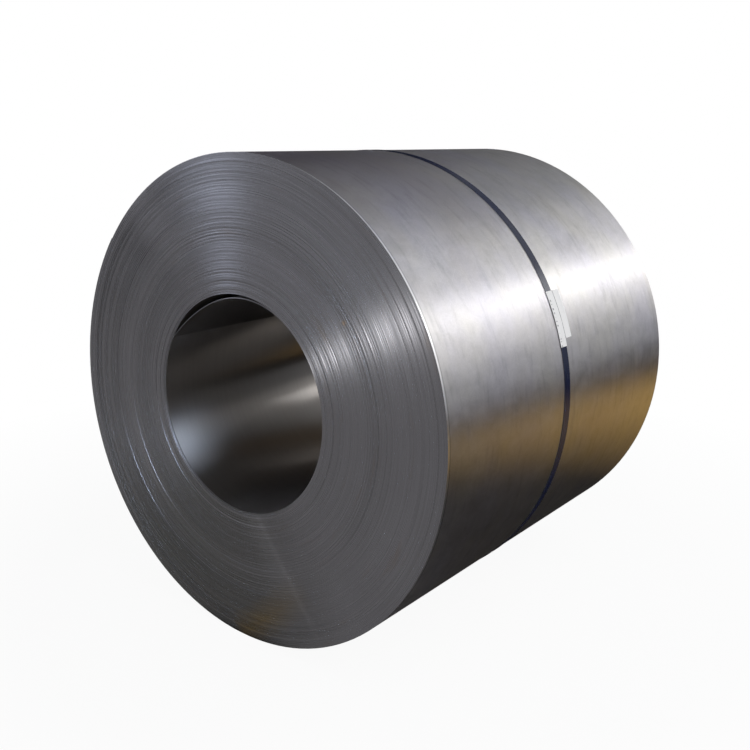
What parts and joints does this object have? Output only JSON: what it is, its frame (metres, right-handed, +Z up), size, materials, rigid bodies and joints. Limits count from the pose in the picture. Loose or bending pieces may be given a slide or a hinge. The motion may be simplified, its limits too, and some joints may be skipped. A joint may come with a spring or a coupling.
{
  "type": "steel coil",
  "caption": "Coil of cold-rolled sheet steel lying with its bore level, bound round the middle by a steel strap that carries two blank tags.",
  "frame": {"origin": "on the floor under the middle of the coil's bounding box", "axes": "+Z up, Y along the coil's axis with the front end facing -Y, +X to the right seen from the front"},
  "size_m": [1.371, 1.2524, 1.37],
  "materials": {
    "rolled_steel": "cold-rolled, lightly oiled, with strip edges showing on the ends",
    "strap_paint": "blue-black strapping paint, satin, a little worn",
    "seal_steel": "dark satin coating",
    "tag_paper": "matt white label stock"
  },
  "bodies": {
    "root": {"steel_coil": "rolled_steel", "steel_strap": "strap_paint", "strap_seal": "seal_steel", "tag_on_strap": "tag_paper", "tag_beside_strap": "tag_paper"}
  },
  "joints": []
}
